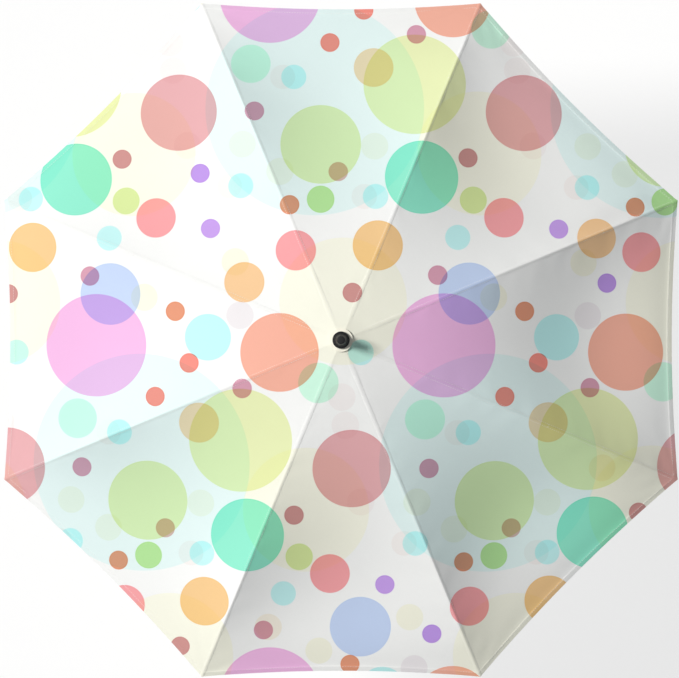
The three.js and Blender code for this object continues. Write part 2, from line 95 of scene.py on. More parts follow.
floor_mesh = bpy.data.meshes.new("floor")
corners = np.array([(-1, -1, 0), (1, -1, 0), (1, 1, 0), (-1, 1, 0)]) * FLOOR_HALF
floor_mesh.from_pydata(corners.tolist(), [], [(0, 1, 2, 3)])
floor = bpy.data.objects.new("floor", floor_mesh)
bpy.context.scene.collection.objects.link(floor)
lit_white = bpy.data.materials.new("lit_white_floor")
lit_white.use_nodes = True
glowing = lit_white.node_tree.nodes["Principled BSDF"].inputs
glowing["Base Color"].default_value = (FLOOR_GREY, FLOOR_GREY, FLOOR_GREY, 1.0)
glowing["Roughness"].default_value = 0.9
glowing["Specular IOR Level"].default_value = 0.1
glowing["Emission Color"].default_value = (1.0, 1.0, 1.0, 1.0)
glowing["Emission Strength"].default_value = FLOOR_GLOW
floor_mesh.materials.append(lit_white)


# ---- Canopy cloth -------------------------------------------------------------------------
# White plain-weave polyester, printed, cut in eight gores. Each piece here runs over one rib
# from the middle of one gore to the middle of the next, so its seam lies along its middle.

ARMS = 8
FIRST_ARM = math.radians(22.5)
HALF_ARM = math.pi / ARMS
RIB_LENGTH = 0.575
CROWN_SLOPE, TIP_SLOPE = math.radians(12), math.radians(38)
RIB_BEND = (TIP_SLOPE - CROWN_SLOPE) / RIB_LENGTH
RIB_HEIGHT = 0.0028
OVER_RIB, OVER_TIP = 0.0011, 0.0009
CROWN_RISE, CROWN_REACH = 0.0034, 0.040
DIP = 0.024
DIP_LATE = 1.9
HEM_CUT = 0.012
HEM_OVER = 0.001
HEM_WIDTH = 0.010
SEAM_HALF = 0.0032
FOLDED_OVER = 0.00035
joints = {joint["name"]: joint for joint in frame["joints"]}
rib_pin = Vector(joints["umbrella_fold"]["pos_m"])
PIN_OUT, PIN_UP = math.hypot(rib_pin.x, rib_pin.y), rib_pin.z


def rib_line(along):
    """The rib's middle line, an arc of a circle: its radius from the shaft, height and slope."""
    slope = CROWN_SLOPE + RIB_BEND * along
    out = PIN_OUT + (np.sin(slope) - math.sin(CROWN_SLOPE)) / RIB_BEND
    up = PIN_UP + (np.cos(slope) - math.cos(CROWN_SLOPE)) / RIB_BEND
    return out, up, slope


def smooth(low, high, x):
    """0 below low, 1 above high, and an S curve between them."""
    t = np.clip((x - low) / (high - low), 0.0, 1.0)
    return t * t * (3 - 2 * t)


def half_gore(along):
    """Half the width of a gore at a rib's distance along, from the rib to the gore's middle."""
    return rib_line(along)[0] * math.sin(HALF_ARM) * math.cos(HALF_ARM)


def cloth_point(along, across, off):
    """A point of the cloth over the first rib, turned to lie along +X: out along the rib, then
    straight across to the middle of the gore (across = 1), dipping between the ribs as a
    parabola times a squared sine that comes late along the rib, and off above that. It clears
    the rib by more at the tip, and by the square of what is left of CROWN_REACH at the crown."""
    rise = CROWN_RISE * np.clip(1 - along / CROWN_REACH, 0, 1) ** 2
    rise = rise + OVER_RIB + OVER_TIP * smooth(RIB_LENGTH - 0.030, RIB_LENGTH - 0.012, along)
    out, up, slope = rib_line(along)
    aside = np.abs(across)
    lift = RIB_HEIGHT / 2 + rise + off
    share = np.minimum(1, along / RIB_LENGTH) ** DIP_LATE
    dip = DIP * aside * (2 - aside) * np.sin(math.pi * share) ** 2
    base = out + lift * np.sin(slope)
    azimuth = HALF_ARM * across
    x = base * (1 - aside * math.sin(HALF_ARM) ** 2) - dip * np.sin(slope) * np.cos(azimuth)
    y = base * across * math.cos(HALF_ARM) * math.sin(HALF_ARM) - dip * np.sin(slope) * np.sin(azimuth)
    return np.stack([x, y, up + lift * np.cos(slope) - dip * np.cos(slope)], axis=-1)


def hem_end(across):
    """Where the cloth ends along the rib's arc: over the rib's tip, hollowed between the tips."""
    aside = np.abs(across)
    return RIB_LENGTH + HEM_OVER - HEM_CUT * aside * (2 - aside)


def turned_to(points, arm):
    """Points drawn along +X, turned about the shaft to an arm's place, counted from 0."""
    turn = FIRST_ARM + arm * 2 * HALF_ARM
    cos, sin = math.cos(turn), math.sin(turn)
    x, y, z = points[..., 0], points[..., 1], points[..., 2]
    return np.stack([x * cos - y * sin, x * sin + y * cos, z], -1)


def grid_piece(name, points, wrap_columns=False, uv=None):
    """A mesh piece from points on a grid of rows and columns, joined round where it wraps."""
    rows, columns = points.shape[:2]
    ids = np.arange(rows * columns).reshape(rows, columns)
    ids = np.hstack([ids, ids[:, :1]]) if wrap_columns else ids
    corners = [ids[:-1, :-1], ids[1:, :-1], ids[1:, 1:], ids[:-1, 1:]]
    quads = np.stack(corners, -1).reshape(-1, 4)
    mesh = bpy.data.meshes.new(name)
    mesh.from_pydata(points.reshape(-1, 3).tolist(), [], quads.tolist())
    mesh.shade_smooth()
    if uv is not None:
        layer = mesh.uv_layers.new(name="cloth")
        layer.data.foreach_set("uv", uv.reshape(-1, 2)[quads.ravel()].astype(np.float32).ravel())
    piece = bpy.data.objects.new(name, mesh)
    bpy.context.scene.collection.objects.link(piece)
    return piece


MAIN_ROWS = 78


def waves(along, length, seed):
    """A sine of that wave length along the rib, shifted by a seed."""
    return np.sin(along * 2 * math.pi / length + seed)


def cloth_surface(arm):
    """One strip's grid: columns crowd at the seam, rows crowd at the hem. Returns its points and
    how far along the rib each is.

    Above the plain surface stand the folded seam, the folded hem, small puckers beside the seam
    and slack folds that fan out from the rib's tip; all fade out before the middle of a gore."""
    seam = np.array([0, 0.8, 1.6, 2.3, 2.8, 3.1, 3.5, 4.4, 6.0, 8.5]) / 1000
    share = np.linspace(0, 1, 27)[1:]
    main = np.linspace(0, 1, MAIN_ROWS)
    edge = np.array([9.7, 9.4, 9.1, 8.8, 7.5, 5.5, 3.5, 2, 1, 0.4, 0]) / 1000
    nominal = np.concatenate([main * (RIB_LENGTH - HEM_WIDTH), RIB_LENGTH - edge])
    width = half_gore(nominal)[:, None]
    near = seam[None, :] * np.minimum(1, width / (3 * seam[-1]))
    aside = np.concatenate([near, near[:, -1:] + (width - near[:, -1:]) * share[None, :]], axis=1) / width
    across = np.concatenate([-aside[:, :0:-1], aside], axis=1)
    end = hem_end(across)
    along = np.where(
        np.arange(len(nominal))[:, None] < len(main),
        np.concatenate([main, edge * 0])[:, None] * (end - HEM_WIDTH),
        end - np.concatenate([main * 0, edge])[:, None])
    t = across * half_gore(along)
    inside = (1 - np.abs(across)) ** 2
    away = np.abs(t)
    seam_high = FOLDED_OVER * (1 - smooth(SEAM_HALF - 0.0010, SEAM_HALF, away))
    hem_high = FOLDED_OVER * smooth(-HEM_WIDTH, -HEM_WIDTH + 0.0012, along - end)
    side = np.sign(across)
    seed = arm * 1.7 + side * 0.9
    pucker = 0.00016 * waves(along, 0.0085, seed) * np.exp(-((away - 0.006) / 0.004) ** 2)
    slack = 0.0009 * waves(along, 0.088, seed * 2.3) * np.exp(-away / 0.022) * away / 0.022
    slack = slack + 0.0006 * waves(along, 0.037, seed) * np.exp(-away / 0.012) * away / 0.012
    to_tip = np.hypot(RIB_LENGTH - along, t)
    bearing = np.arctan2(away, RIB_LENGTH - along + 1e-6)
    fan = 0.0016 * np.sin(bearing * 9 + seed) * np.exp(-to_tip / 0.075)
    fan = fan * smooth(0.006, 0.035, to_tip) * np.sin(bearing) ** 2
    gather = 0.0008 * np.sin(across * 9 + seed) * smooth(0.03, 0.09, along) * np.exp(-along / 0.09)
    ripple = (slack + fan + gather * np.abs(across)) * inside * smooth(0, 0.03, end - along + 0.012)
    crown = smooth(0.01, 0.05, along)
    off = (seam_high + pucker) * crown + hem_high + ripple * crown
    return cloth_point(along, across, off), along


def thick(piece, thickness, inner_material=0):
    """Gives a sheet its thickness below its surface, with crisp edges."""
    mesh = piece.data
    uses = np.zeros(len(mesh.edges), int)
    edge_of_loop = np.zeros(len(mesh.loops), int)
    mesh.loops.foreach_get("edge_index", edge_of_loop)
    np.add.at(uses, edge_of_loop, 1)
    sharp = mesh.attributes.new("sharp_edge", "BOOLEAN", "EDGE")
    sharp.data.foreach_set("value", uses == 1)
    wall = piece.modifiers.new("thickness", "SOLIDIFY")
    wall.thickness = thickness
    wall.offset = -1
    wall.material_offset = inner_material
    wall.use_even_offset = True


class Signal:
    """A socket in a material. + - * and / on it add Math nodes, and node() adds any other kind."""

    def __init__(self, tree, socket=None):
        self.tree, self.socket = tree, socket

    def node(self, kind, settings=None, inputs=None, output=0):
        """Adds a node: its settings first, then the values or links of its sockets."""
        made = self.tree.nodes.new(kind)
        for name, value in (settings or {}).items():
            if name == "stops":
                for i, (place, colour) in enumerate(value):
                    stop = made.color_ramp.elements[i] if i < 2 else made.color_ramp.elements.new(place)
                    stop.position, stop.color = place, colour
            else:
                setattr(made, name, value)
        for key, value in (inputs or {}).items():
            if isinstance(value, Signal):
                self.tree.links.new(value.socket, made.inputs[key])
            else:
                made.inputs[key].default_value = value
        return Signal(self.tree, made.outputs[output])

    def math(self, operation, *others, clamp=False):
        settings = {"operation": operation, "use_clamp": clamp}
        return self.node("ShaderNodeMath", settings, dict(enumerate((self,) + others)))

    def __add__(self, other):
        return self.math("ADD", other)

    def __mul__(self, other):
        return self.math("MULTIPLY", other)

    def __sub__(self, other):
        return self.math("SUBTRACT", other)

    def __rsub__(self, other):
        settings = {"operation": "SUBTRACT"}
        return self.node("ShaderNodeMath", settings, {0: other, 1: self})

    def __truediv__(self, other):
        return self.math("DIVIDE", other)

    __radd__ = __add__
    __rmul__ = __mul__

    def tint(self, first, second, blend="MIX"):
        """Mixes two colours, this signal saying how much of the second."""
        settings = {"data_type": "RGBA", "blend_type": blend, "clamp_factor": True}
        return self.node("ShaderNodeMix", settings, {0: self, 6: first, 7: second}, output=2)

    def noise(self, scale, detail=2.0, roughness=0.5):
        """Cloudy noise between 0 and 1 over this vector."""
        inputs = {"Vector": self, "Scale": scale, "Detail": detail, "Roughness": roughness}
        return self.node("ShaderNodeTexNoise", None, inputs)

    def stretched(self, x, y, z):
        """This vector times (x, y, z)."""
        settings = {"operation": "MULTIPLY"}
        return self.node("ShaderNodeVectorMath", settings, {0: self, 1: (x, y, z)})

    def ramp(self, *stops):
        """A grey ramp of (place, brightness) stops over this signal."""
        made = [(place, (level, level, level, 1)) for place, level in stops]
        return self.node("ShaderNodeValToRGB", {"stops": made}, {0: self})


def new_finish(name, **fixed):
    """A material, the signal that starts its nodes, and its shader with the fixed values set."""
    material = bpy.data.materials.new(name)
    material.use_nodes = True
    shader = material.node_tree.nodes["Principled BSDF"]
    for key, value in fixed.items():
        shader.inputs[key.replace("_", " ")].default_value = value
    return material, Signal(material.node_tree), shader


def feed(shader, **signals):
    """Links signals to the shader's sockets."""
    for key, signal in signals.items():
        shader.id_data.links.new(signal.socket, shader.inputs[key.replace("_", " ")])


def bumped(start, height, distance, strength=1.0):
    """A normal from a height signal, distance being its full height in metres."""
    return start.node("ShaderNodeBump", None, {"Height": height, "Distance": distance, "Strength": strength})


# The print: see-through dots in millimetres from the crown, on a repeat 498 wide and 510.5
# high whose rows are shifted by half. Each line is a dye, its radius and its dots in one repeat.
REPEAT_WIDE, REPEAT_HIGH, ROW_SHIFT = 498.0, 510.5, 249.0
DYES = {
    "pale_cyan": ((0.83, 0.98, 0.98), 157.0, [(460, 334)]),
    "pale_yellow": ((1.00, 0.99, 0.86), 90.0, [(3, 55), (199, 268)]),
    "magenta": ((0.93, 0.44, 0.82), 73.5, [(395, 503)]),
    "yellow_green": ((0.84, 0.91, 0.44), 73.5, [(106, 368)]),
    "light_green": ((0.80, 0.90, 0.43), 57.5, [(469, 280)]),
    "rose": ((0.79, 0.34, 0.37), 55.5, [(264, 328)]),
    "salmon": ((0.96, 0.38, 0.25), 55.5, [(162, 493)]),
    "teal": ((0.18, 0.87, 0.62), 52.5, [(115, 232)]),
    "golden": ((0.96, 0.57, 0.18), 35.5, [(52, 134)]),
    "cyan": ((0.50, 0.96, 0.97), 33.0, [(309, 4)]),
    "mint": ((0.66, 1.00, 0.82), 28.5, [(368, 398), (217, 450)]),
    "peach": ((0.97, 0.68, 0.40), 28.5, [(47, 393)]),
    "coral": ((0.99, 0.29, 0.32), 28.5, [(233, 175), (434, 127)]),
    "green": ((0.50, 0.81, 0.24), 19.5, [(469, 200)]),
    "lime": ((0.70, 0.87, 0.34), 19.5, [(189, 200)]),
    "blush": ((0.97, 0.93, 0.93), 19.5, [(250, 430), (255, 390), (277, 280)]),
    "dove": ((0.96, 0.96, 0.86), 19.5, [(357, 280), (411, 240), (48, 277)]),
    "lilac": ((0.91, 0.87, 0.90), 19.5, [(355, 35)]),
    "cream": ((0.97, 0.96, 0.82), 19.5, [(217, 61), (348, 111)]),
    "aqua": ((0.60, 0.97, 0.98), 18.0, [(430, 379), (355, 220), (49, 204), (166, 146), (277, 493)]),
    "shell": ((0.97, 0.93, 0.92), 18.0, [(414, 379), (339, 220), (33, 204)]),
    "dark_rose": ((0.60, 0.19, 0.22), 13.8, [(182, 261), (16, 67)]),
    "mauve": ((0.68, 0.25, 0.39), 13.8, [(137, 92), (109, 442), (374, 328)]),
    "brown": ((0.74, 0.41, 0.36), 13.8, [(494, 240)]),
    "red": ((0.98, 0.17, 0.11), 13.8, [(482, 430), (33, 478)]),
    "purple": ((0.53, 0.25, 0.86), 13.8, [(312, 159)]),
    "orange_brown": ((0.80, 0.22, 0.06), 13.8, [(262, 41), (425, 192)]),
}
LONE_DYES = {
    "blue": ((0.53, 0.67, 0.98), 44.0, [(-331, 66), (182, 66), (28, -414)]),
    "peach_alone": ((0.97, 0.57, 0.23), 28.5, [(-137, 82), (367, 146)]),
    "purple_alone": ((0.46, 0.20, 0.82), 13.8, [(-202, 239), (383, 82), (131, -424)]),
    "cream_alone": ((0.97, 0.91, 0.80), 19.5, [(376, -184), (-105, -414)]),
}
EDGE_SOFT = 0.9
RIM_WIDE = 2.0
RIM_DEEP = 0.14
STRONG_DYE = 0.6
CLOTH_WHITE, INSIDE_WHITE = (0.93, 0.935, 0.93, 1.0), (0.90, 0.905, 0.90, 1.0)
INSIDE_DYE = 0.62
LET_THROUGH = 0.16


def repeated(centre, radius):
    """Every copy of a dot whose disc touches one repeat of the print."""
    copies = []
    for row in (-1, 0, 1):
        for column in (-1, 0, 1, 2):
            x = centre[0] + column * REPEAT_WIDE - row * ROW_SHIFT
            y = centre[1] + row * REPEAT_HIGH
            near_x = min(max(x, 0), REPEAT_WIDE)
            near_y = min(max(y, 0), REPEAT_HIGH)
            if math.hypot(x - near_x, y - near_y) < radius + EDGE_SOFT:
                copies.append((x, y))
    return copies


def printed(start, base, strength):
    """The print's colour over a base colour: one disc mask for each dot, its dye multiplied in,
    a little deeper in a thin rim, so that overlaps darken as dyes do."""
    place = start.node("ShaderNodeUVMap", {"uv_map": "cloth"}).stretched(1000, 1000, 0)
    split = {"Vector": place}
    x = start.node("ShaderNodeSeparateXYZ", None, split, output=0)
    y = start.node("ShaderNodeSeparateXYZ", None, split, output=1)
    row = (y / REPEAT_HIGH).math("FLOOR")
    moved = x + row * ROW_SHIFT
    folded_x = moved - (moved / REPEAT_WIDE).math("FLOOR") * REPEAT_WIDE
    folded_y = y - row * REPEAT_HIGH
    folded = start.node("ShaderNodeCombineXYZ", None, {"X": folded_x, "Y": folded_y})
    colour = base
    jobs = [(folded, dye, [c for dot in dye[2] for c in repeated(dot, dye[1])]) for dye in DYES.values()]
    jobs += [(place, dye, dye[2]) for dye in LONE_DYES.values()]
    for where, (tone, radius, _), centres in jobs:
        cover = None
        for centre in centres:
            away = where.node("ShaderNodeVectorMath", {"operation": "DISTANCE"},
                              {0: where, 1: (centre[0], centre[1], 0.0)}, output=1)
            disc = away.math("MULTIPLY_ADD", -1 / EDGE_SOFT, radius / EDGE_SOFT + 0.5, clamp=True)
            if min(tone) < STRONG_DYE:
                rim = away.math("MULTIPLY_ADD", 1 / RIM_WIDE, 1 - radius / RIM_WIDE, clamp=True)
                disc = disc * (rim * RIM_DEEP + (1 - RIM_DEEP))
            cover = disc if cover is None else cover.math("MAXIMUM", disc)
        dye = tuple(1 - strength * (1 - channel) for channel in tone) + (1.0,)
        colour = cover.tint(colour, dye, "MULTIPLY")
    return colour


def cloth_finish(name, dye_strength, base):
    """Plain-weave polyester: a fine woven bump, slubs in both thread directions, a soft sheen
    and a little light let through."""
    material, start, shader = new_finish(
        name, Roughness=0.78, Sheen_Weight=0.12, Sheen_Roughness=0.5, Specular_IOR_Level=0.3)
    uv = start.node("ShaderNodeUVMap", {"uv_map": "cloth"})
    slubs = uv.stretched(2600, 170, 0).noise(1.0, 2) + uv.stretched(170, 2600, 0).noise(1.0, 2)
    clouds = uv.noise(14, 3)
    shade = slubs * 0.05 + clouds * 0.03 + 0.91
    ground = shade.node("ShaderNodeMix", {"data_type": "RGBA", "blend_type": "MULTIPLY"},
                        {0: 1.0, 6: base, 7: shade}, output=2)
    feed(shader, Base_Color=printed(start, ground, dye_strength))
    feed(shader, Roughness=clouds * 0.1 + 0.72)
    weave = uv.stretched(3300, 3300, 0).noise(1.0, 1)
    feed(shader, Normal=bumped(start, slubs * 0.5 + weave * 0.5, 0.00009, 0.35))
    glow = start.node("ShaderNodeBsdfTranslucent", None, {"Color": (0.80, 0.84, 0.83, 1.0)})
    cloth = Signal(start.tree, shader.outputs[0])
    both = start.node("ShaderNodeMixShader", None, {0: LET_THROUGH, 1: cloth, 2: glow})
    start.tree.links.new(both.socket, start.tree.nodes["Material Output"].inputs["Surface"])
    return material


outside = cloth_finish("canopy_cloth_outside", 1.0, CLOTH_WHITE)
inside = cloth_finish("canopy_cloth_inside", INSIDE_DYE, INSIDE_WHITE)
thread, start, shader = new_finish("white_thread", Roughness=0.7)
grain = start.node("ShaderNodeTexCoord", output=3).noise(2500, 2)
feed(shader, Base_Color=grain.tint((0.80, 0.80, 0.78, 1), (0.93, 0.93, 0.91, 1)), Roughness=grain * 0.2 + 0.6)

# Each strip is cut across into zones, given here as rows of its grid, because the closer to the
# crown cloth is, the more of its width it keeps when the frame closes.
CLOTH_THICK = 0.0004
ZONE_ROWS = {"crown": (0, 2), "neck": (2, 4), "shoulder": (4, 7), "upper": (7, 12),
             "middle": (12, 18), "waist": (18, 25), "skirt": (25, 33), "hem": (33, 88)}
CLOSING = math.radians(joints["umbrella_fold"]["range_deg"][1])
SNUG = 1.02
FOLD_HALF, FOLD_THICK = 0.0023, 0.0001
FOLD_FROM, FOLD_TO = 0.012, 0.560
STITCH_LONG, STITCH_STEP, STITCH_RADIUS = 0.0026, 0.0036, 0.00022
SEWN_FROM, SEWN_TO = 0.030, RIB_LENGTH - 0.004
SEAM_STITCH, SEAM_STITCH_UP = 0.0024, 0.00030
HEM_STITCH, HEM_STITCH_UP = 0.0078, 0.00036
WIDTH_AS_CUT = 1.05


def gathered(along):
    """The share of its width that the cloth keeps when closed, for strips that just meet there:
    the middle of a gore turns down about the rib's pin, and the width left is 22.5 degrees of its
    new radius to each side."""
    x, y, z = cloth_point(along, 1.0, 0.0)
    radius = PIN_OUT + (x - PIN_OUT) * math.cos(CLOSING) + (z - PIN_UP) * math.sin(CLOSING)
    return min(1.0, SNUG * radius * math.tan(HALF_ARM) / y)


def gathers(piece, arm, along):
    """Cloth and what is sewn to it rides on its rib and gets a mesh of its own. The share of its width
    that it would keep closed at its upper end, a distance along the rib, is worked out but not used."""
    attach(piece, f"rib_{arm + 1}")
    gathered(along)
    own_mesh(piece)


def stitches(name, points, directions, normals):
    """A row of stitches: each a small six-sided spindle lying along its direction, half sunk."""
    turn = np.arange(6) * math.pi / 3
    place = np.array([-0.5, -0.36, 0.0, 0.36, 0.5])
    fat = np.array([0.12, 0.8, 1.0, 0.8, 0.12]) * STITCH_RADIUS
    sides = np.cross(normals, directions)
    ring = (np.cos(turn)[None, None, :, None] * sides[:, None, None, :]
            + np.sin(turn)[None, None, :, None] * normals[:, None, None, :])
    along_it = directions[:, None, None, :] * (place * STITCH_LONG)[None, :, None, None]
    body = points[:, None, None, :] + along_it + ring * fat[None, :, None, None]
    count, rings = len(points), len(place)
    ids = np.arange(count * rings * 6).reshape(count, rings, 6)
    low, high = ids[:, :-1], ids[:, 1:]
    quads = np.stack([low, np.roll(low, -1, 2), np.roll(high, -1, 2), high], -1).reshape(-1, 4)
    ends = np.concatenate([ids[:, 0, ::-1], ids[:, -1]])
    mesh = bpy.data.meshes.new(name)
    mesh.from_pydata(body.reshape(-1, 3).tolist(), [], quads.tolist() + ends.tolist())
    mesh.shade_smooth()
    mesh.materials.append(thread)
    piece = bpy.data.objects.new(name, mesh)
    bpy.context.scene.collection.objects.link(piece)
    return piece


def unit(vectors):
    """The same directions, one long."""
    return vectors / np.linalg.norm(vectors, axis=1, keepdims=True)


def stitch_line(along, across, lift):
    """Points, directions and upward normals of a line of stitches on the cloth. The line runs
    across the cloth, as on a hem, if it spans more than half a gore, and along it otherwise."""
    points = cloth_point(along, across, lift)
    step = 0.0005
    if np.ptp(across) > 0.5:
        ahead = cloth_point(along, across + step, lift) - points
        side = cloth_point(along + step, across, lift) - points
    else:
        ahead = cloth_point(along + step, across, lift) - points
        side = cloth_point(along, across + step, lift) - points
    normal = np.cross(ahead, side)
    normal *= np.sign(normal[:, 2:3])
    return points, unit(ahead), unit(normal)


for arm in range(ARMS):
    number = arm + 1
    rows = []
    seam_run = np.arange(SEWN_FROM, SEWN_TO, STITCH_STEP)
    for side in (-1, 1):
        beside = side * SEAM_STITCH / half_gore(seam_run)
        rows.append(stitch_line(seam_run, beside, SEAM_STITCH_UP))
    hem_run = np.arange(-0.5, 0.5, STITCH_STEP / (2 * half_gore(RIB_LENGTH))) * 2 * 0.985
    hem_run = hem_run[np.abs(hem_run) > 0.02]
    rows.append(stitch_line(hem_end(hem_run) - HEM_STITCH, hem_run, HEM_STITCH_UP))
    places, directions, normals = (turned_to(np.concatenate(part), arm) for part in zip(*rows))
    sewing = stitches(f"sewing_{number}", places, directions, normals)

    fold_along = np.linspace(FOLD_FROM, FOLD_TO, 90)[:, None]
    fold_aside = np.linspace(-FOLD_HALF, FOLD_HALF, 7)[None, :]
    fold_across = fold_aside / half_gore(fold_along)
    under = turned_to(cloth_point(fold_along + 0 * fold_aside, fold_across, -CLOTH_THICK - 0.00003), arm)
    seam_fold = grid_piece(f"seam_fold_{number}", under, uv=under[..., :2])
    seam_fold.data.materials.append(outside)
    thick(seam_fold, FOLD_THICK)
    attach(seam_fold, f"rib_{number}")

    points, along = cloth_surface(arm)
    points = turned_to(points, arm)
    for zone, (first, last) in ZONE_ROWS.items():
        part = points[first:last + 1]
        strip = grid_piece(f"canopy_cloth_{number}_{zone}", part, uv=part[..., :2])
        strip.data.materials.append(outside)
        strip.data.materials.append(inside)
        thick(strip, CLOTH_THICK, inner_material=1)
        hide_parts(f"canopy_{number}")
        zone_start, zone_end = along[first].mean(), along[last].mean()
        gathers(strip, arm, zone_start)
        zone_long = zone_end - zone_start
        flat_size = (WIDTH_AS_CUT * 2 * half_gore(zone_end), zone_long)
        cut = WIDTH_AS_CUT * 2 * half_gore(np.linspace(zone_start, zone_end, 50)).mean() * zone_long
    hem_top = along[ZONE_ROWS["hem"][0]].mean()
    gathers(sewing, arm, hem_top)


# ---- Rosette ------------------------------------------------------------------------------
# A round of doubled ivory cloth with a stitched edge. It keeps the ferrule off the canopy and
# shuts the hole at the crown; the ferrule clamps it down.

rosette_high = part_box("rosette")[1]
SHAFT_RADIUS = 0.005
ROSETTE_RADIUS = rosette_high.x
ROSETTE_HOLE = SHAFT_RADIUS + 0.0003
ROSETTE_FALL = 0.0023
ROSETTE_DIP = 0.0004
ROSETTE_THICK = 0.0008
STITCHED_AT, STITCHED_DEEP, STITCHED_HALF = 0.0146, 0.00016, 0.0005


def plain_cloth(name, low, high):
    """Plain woven cloth on object coordinates, between two shades."""
    material, start, shader = new_finish(name, Roughness=0.85, Sheen_Weight=0.2, Sheen_Roughness=0.5)
    where = start.node("ShaderNodeTexCoord", output=3)
    threads = where.stretched(3800, 500, 500).noise(1.0, 2) + where.stretched(500, 3800, 500).noise(1.0, 2)
    feed(shader, Base_Color=(threads * 0.5).tint(low, high), Roughness=threads * 0.08 + 0.8)
    feed(shader, Normal=bumped(start, threads, 0.00018, 0.6))
    return material


ivory_cloth = plain_cloth("ivory_cloth", (0.80, 0.77, 0.64, 1), (0.95, 0.93, 0.82, 1))


def disc_point(out, around, lift):
    """The rosette's cone: it falls towards its rim and lies a little lower between the ribs."""
    share = (out - ROSETTE_HOLE) / (ROSETTE_RADIUS - ROSETTE_HOLE)
    between = 0.5 - 0.5 * np.cos(ARMS * (around - FIRST_ARM))
    up = rosette_high.z - ROSETTE_FALL * share - ROSETTE_DIP * between * share ** 2 + lift
    return np.stack([out * np.cos(around), out * np.sin(around), up], -1)


around = np.linspace(0, 2 * math.pi, 192, endpoint=False)[None, :]
out = np.linspace(ROSETTE_HOLE, ROSETTE_RADIUS, 14)[:, None]
channel = -STITCHED_DEEP * np.exp(-((out - STITCHED_AT) / STITCHED_HALF) ** 2)
cone = disc_point(out + 0 * around, around + 0 * out, channel)
rosette = grid_piece("crown_rosette", cone, wrap_columns=True)
rosette.data.materials.append(ivory_cloth)
thick(rosette, ROSETTE_THICK)
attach(rosette, "shaft")
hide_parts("rosette")


# ---- Ferrule ------------------------------------------------------------------------------
# A moulded black point that screws on the top of the shaft and clamps cloth and rosette down.

def rounded(corners, radius, steps=5):
    """A line of (radius, height) points with each inner corner rounded by a quadratic arc."""
    line = [np.array(c, float) for c in corners]
    made = [line[0]]
    for before, corner, after in zip(line, line[1:], line[2:]):
        cut = min(radius, 0.45 * np.linalg.norm(corner - before), 0.45 * np.linalg.norm(after - corner))
        first = corner + (before - corner) / np.linalg.norm(before - corner) * cut
        last = corner + (after - corner) / np.linalg.norm(after - corner) * cut
        for t in np.linspace(0, 1, steps):
            made.append((1 - t) ** 2 * first + 2 * t * (1 - t) * corner + t ** 2 * last)
    return np.array(made + [line[-1]])


def turned_rings(profile, sides=96):
    """Rings about +Z from (radius, height) points."""
    turn = np.arange(sides) * 2 * math.pi / sides
    radius, height = profile[:, 0, None], profile[:, 1, None]
    return np.stack([radius * np.cos(turn), radius * np.sin(turn), height + 0 * turn], -1)


def shells_piece(name, shells, material, body, replaces=(), crease=32, around=False):
    """One piece from closed shells, each a stack of rings with flat ends (or joined end to end),
    turned outwards by the sign of its volume, with edges sharper than the crease left crisp."""
    points, faces, first = [], [], 0
    for rings in shells:
        rows, columns = rings.shape[:2]
        ids = np.arange(rows * columns).reshape(rows, columns)
        low, high = (ids, np.roll(ids, -1, 0)) if around else (ids[:-1], ids[1:])
        quads = np.stack([low, np.roll(low, -1, 1), np.roll(high, -1, 1), high], -1).reshape(-1, 4)
        flat = rings.reshape(-1, 3)
        middle = flat.mean(0)
        a, b, c, d = (flat[quads[:, i]] - middle for i in range(4))
        volume = (np.cross(a, b) * c).sum() + (np.cross(a, c) * d).sum()
        made = quads.tolist() + ([] if around else [ids[0, ::-1].tolist(), ids[-1].tolist()])
        if volume < 0:
            made = [face[::-1] for face in made]
        faces += [[first + i for i in face] for face in made]
        points.append(flat)
        first += len(flat)
    mesh = bpy.data.meshes.new(name)
    mesh.from_pydata(np.concatenate(points).tolist(), [], faces)
    mesh.shade_smooth()
    mesh.set_sharp_from_angle(angle=math.radians(crease))
    mesh.materials.append(material)
    piece = bpy.data.objects.new(name, mesh)
    bpy.context.scene.collection.objects.link(piece)
    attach(piece, body)
    if replaces:
        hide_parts(*replaces)
    return piece


def plastic_finish(name, tone, roughness, grain):
    """Moulded plastic: a fine skin texture, cloudy gloss and a few thin scuffs."""
    material, start, shader = new_finish(name, Specular_IOR_Level=0.3)
    where = start.node("ShaderNodeTexCoord", output=3)
    skin, clouds = where.noise(1600, 3), where.noise(70, 3)
    scuffs = where.stretched(900, 900, 60).noise(1.0, 3).ramp((0.68, 0.0), (0.78, 1.0))
    light = tuple(min(1.0, 2.6 * c + 0.012) for c in tone[:3]) + (1,)
    feed(shader, Base_Color=(clouds * 0.4 + scuffs * 0.25).tint(tone, light))
    feed(shader, Roughness=clouds * 0.14 + scuffs * 0.15 + roughness)
    feed(shader, Normal=bumped(start, skin, grain, 0.5))
    return material


black_plastic = plastic_finish("black_plastic", (0.010, 0.010, 0.012, 1), 0.42, 0.00004)
ferrule_black = plastic_finish("ferrule_black", (0.004, 0.004, 0.005, 1), 0.55, 0.00003)
ferrule_low, ferrule_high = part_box("ferrule")
FERRULE_RADIUS = ferrule_high.x
base, top = ferrule_low.z, ferrule_high.z
profile = rounded([
    (0.0040, base + 0.0003), (FERRULE_RADIUS, base), (FERRULE_RADIUS, base + 0.0027),
    (FERRULE_RADIUS - 0.0030, base + 0.0052), (FERRULE_RADIUS - 0.0043, base + 0.0085),
    (FERRULE_RADIUS - 0.0049, base + 0.0140), (0.0064, top - 0.0104), (0.0058, top - 0.0100),
    (0.0058, top - 0.0090), (0.0063, top - 0.0086), (0.0061, top - 0.0030), (0.0050, top),
    (0.0008, top)], 0.0012)
shells_piece("ferrule_point", [turned_rings(profile)], ferrule_black, "shaft", ["ferrule"])


